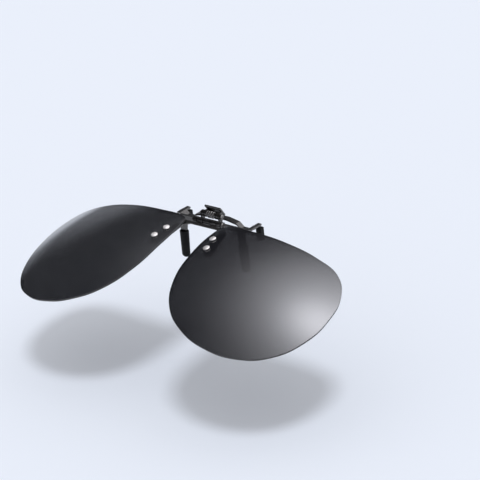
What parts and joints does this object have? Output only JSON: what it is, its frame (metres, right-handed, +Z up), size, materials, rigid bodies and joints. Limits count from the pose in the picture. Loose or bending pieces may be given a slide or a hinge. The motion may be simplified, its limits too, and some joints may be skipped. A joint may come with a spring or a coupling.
{
  "type": "flip-up clip-on sunglasses",
  "caption": "Flip-up clip-on sunglasses: smoke lenses riveted to a hinged metal bracket, on a sprung clamp with rubber-tipped legs that grips a spectacle frame.",
  "frame": {"origin": "middle of the gap in which the two jaws hold a spectacle frame, half-way between the front sleeves and the rear caps", "axes": "+X to the right as seen from the front, +Y to the back (towards the wearer), +Z up along the front legs"},
  "size_m": [0.1352, 0.0601, 0.0259],
  "materials": {
    "smoke_lens": "polished smoke-grey see-through plastic",
    "gunmetal": "satin gunmetal plating",
    "dark_metal": "satin black-nickel plating",
    "silver_rivet": "polished nickel",
    "pin_steel": "dull turned steel",
    "spring_steel": "dark drawn wire",
    "black_rubber": "smooth black rubber",
    "washer_black": "matt black"
  },
  "bodies": {
    "front_jaw": {"front_jaw": "dark_metal", "flip_pin": "pin_steel", "jaw_pin": "pin_steel", "torsion_spring": "spring_steel", "front_sleeve_left": "black_rubber", "front_sleeve_right": "black_rubber"},
    "lenses": {"flip_bracket": "gunmetal", "lens_left": "smoke_lens", "lens_right": "smoke_lens", "rivet_left_upper": "silver_rivet", "rivet_left_lower": "silver_rivet", "rivet_right_upper": "silver_rivet", "rivet_right_lower": "silver_rivet", "washer_left_upper": "washer_black", "washer_left_lower": "washer_black", "washer_right_upper": "washer_black", "washer_right_lower": "washer_black"},
    "rear_jaw": {"rear_jaw": "gunmetal", "thumb_tab": "gunmetal", "rear_cap_left": "black_rubber", "rear_cap_right": "black_rubber"}
  },
  "joints": [
    {"name": "flip_hinge", "type": "hinge", "parent": "front_jaw", "child": "lenses", "pos_m": [0, -0.00555, 0.0126], "axis": [-1, 0, 0], "range_deg": [-76.6, 20]},
    {"name": "jaw_hinge", "type": "hinge", "parent": "front_jaw", "child": "rear_jaw", "pos_m": [0, -0.00315, 0.0145], "axis": [1, 0, 0], "range_deg": [-6, 22], "stiffness_Nm_per_rad": 0.05}
  ]
}
